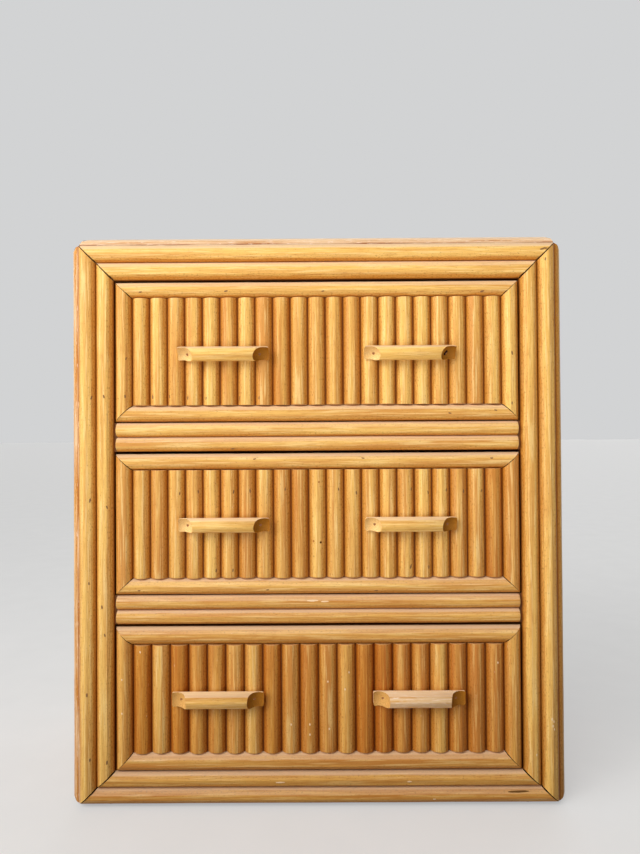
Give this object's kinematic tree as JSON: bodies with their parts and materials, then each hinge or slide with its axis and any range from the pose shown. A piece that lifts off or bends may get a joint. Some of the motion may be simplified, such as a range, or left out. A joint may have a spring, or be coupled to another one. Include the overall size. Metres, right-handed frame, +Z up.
{
  "type": "chest of drawers",
  "caption": "Small upright chest with inset drawers, faced in mitred split-rattan poles and reeds, with scooped pulls; drawers slide out on wooden runners.",
  "frame": {"origin": "on the surface it stands on, under the middle of the whole chest, pulls included", "axes": "+Z up, +X to the right seen from the front, and the drawer fronts face -Y"},
  "size_m": [0.446, 0.2312, 0.5131],
  "materials": {
    "rattan": "satin lacquer",
    "plywood": "sealed, matt",
    "runner_wood": "bare, planed",
    "nail_steel": "dull, tarnished",
    "glide_plastic": "matt"
  },
  "bodies": {
    "case": {"left_side_panel": "plywood", "right_side_panel": "plywood", "top_panel": "plywood", "bottom_panel": "plywood", "back_panel": "plywood", "left_stile": "plywood", "right_stile": "plywood", "top_rail": "plywood", "bottom_rail": "plywood", "upper_divider_rail": "plywood", "lower_divider_rail": "plywood", "drawer_runners": "runner_wood", "drawer_guides": "runner_wood", "top_kickers": "runner_wood", "divider_poles": "rattan", "left_side_frame_poles": "rattan", "left_side_reeds": "rattan", "right_side_frame_poles": "rattan", "right_side_reeds": "rattan", "top_frame_poles": "rattan", "top_reeds": "rattan", "glides": "glide_plastic", "front_left_outer_pole": "rattan", "front_right_outer_pole": "rattan", "front_top_outer_pole": "rattan", "front_bottom_outer_pole": "rattan", "front_left_inner_pole": "rattan", "front_right_inner_pole": "rattan", "front_top_inner_pole": "rattan", "front_bottom_inner_pole": "rattan"},
    "upper_drawer": {"upper_drawer_front": "plywood", "upper_drawer_left_side": "plywood", "upper_drawer_right_side": "plywood", "upper_drawer_back": "plywood", "upper_drawer_bottom": "plywood", "upper_drawer_frame_poles": "rattan", "upper_drawer_reeds": "rattan", "upper_drawer_left_pull": "rattan", "upper_drawer_right_pull": "rattan", "upper_drawer_pull_nails": "nail_steel"},
    "middle_drawer": {"middle_drawer_front": "plywood", "middle_drawer_left_side": "plywood", "middle_drawer_right_side": "plywood", "middle_drawer_back": "plywood", "middle_drawer_bottom": "plywood", "middle_drawer_frame_poles": "rattan", "middle_drawer_reeds": "rattan", "middle_drawer_left_pull": "rattan", "middle_drawer_right_pull": "rattan", "middle_drawer_pull_nails": "nail_steel"},
    "lower_drawer": {"lower_drawer_front": "plywood", "lower_drawer_left_side": "plywood", "lower_drawer_right_side": "plywood", "lower_drawer_back": "plywood", "lower_drawer_bottom": "plywood", "lower_drawer_frame_poles": "rattan", "lower_drawer_reeds": "rattan", "lower_drawer_left_pull": "rattan", "lower_drawer_right_pull": "rattan", "lower_drawer_pull_nails": "nail_steel"}
  },
  "joints": [
    {"name": "upper_drawer_slide", "type": "slide", "parent": "case", "child": "upper_drawer", "axis": [0, -1, 0], "range_m": [0, 0.15]},
    {"name": "middle_drawer_slide", "type": "slide", "parent": "case", "child": "middle_drawer", "axis": [0, -1, 0], "range_m": [0, 0.15]},
    {"name": "lower_drawer_slide", "type": "slide", "parent": "case", "child": "lower_drawer", "axis": [0, -1, 0], "range_m": [0, 0.15]}
  ]
}
